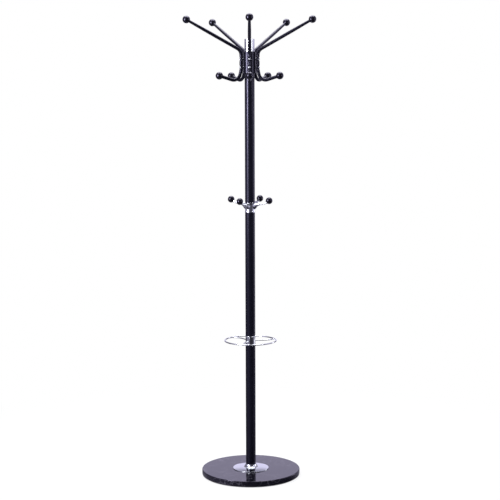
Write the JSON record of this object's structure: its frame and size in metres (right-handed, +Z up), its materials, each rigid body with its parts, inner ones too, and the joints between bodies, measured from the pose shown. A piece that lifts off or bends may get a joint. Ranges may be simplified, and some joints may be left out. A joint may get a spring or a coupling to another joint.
{
  "type": "standing coat rack",
  "caption": "Free-standing coat rack: round stone base, tubular post, umbrella ring, short ball-tipped hooks and a crown of double-ended arms with ball ends.",
  "frame": {"origin": "centre of the felt's underside, on the post's axis, at floor level", "axes": "+Z up along the post, -Y towards the front, where one long arm points, +X to the right seen from the front"},
  "size_m": [0.4964, 0.4734, 1.7658],
  "materials": {
    "black_stone": "polished black stone",
    "black_enamel": "gloss powder coat on steel tube",
    "chrome_plate": "bright chrome plate",
    "black_ball": "gloss moulded plastic",
    "zinc_plated_steel": "zinc plate",
    "felt": "needled felt"
  },
  "bodies": {
    "root": {"arm_1": "black_enamel", "arm_2": "black_enamel", "arm_3": "black_enamel", "arm_4": "black_enamel", "arm_5": "black_enamel", "arm_ball_1": "black_ball", "arm_ball_2": "black_ball", "arm_ball_3": "black_ball", "arm_ball_4": "black_ball", "arm_ball_5": "black_ball", "arm_screws": "chrome_plate", "arm_spacers": "chrome_plate", "base_bolt": "zinc_plated_steel", "base_cover": "chrome_plate", "base_felt": "felt", "base_stone": "black_stone", "base_washer": "zinc_plated_steel", "crook_ball_1": "black_ball", "crook_ball_2": "black_ball", "crook_ball_3": "black_ball", "crook_ball_4": "black_ball", "crook_ball_5": "black_ball", "foot_plug": "zinc_plated_steel", "hook_ball_1": "black_ball", "hook_ball_2": "black_ball", "hook_ball_3": "black_ball", "hook_ball_4": "black_ball", "hook_collar": "chrome_plate", "hub_sleeve": "black_enamel", "lower_stud": "zinc_plated_steel", "lower_top_plug": "zinc_plated_steel", "middle_bottom_plug": "zinc_plated_steel", "middle_top_plug": "zinc_plated_steel", "post_lower_tube": "black_enamel", "post_middle_tube": "black_enamel", "post_upper_tube": "black_enamel", "top_cap": "chrome_plate", "top_coupler": "zinc_plated_steel", "top_tube": "chrome_plate", "umbrella_collar": "chrome_plate", "umbrella_ring": "chrome_plate", "umbrella_spoke_1": "chrome_plate", "umbrella_spoke_2": "chrome_plate", "umbrella_spoke_3": "chrome_plate", "upper_bottom_plug": "zinc_plated_steel", "upper_stud": "zinc_plated_steel"}
  },
  "joints": []
}
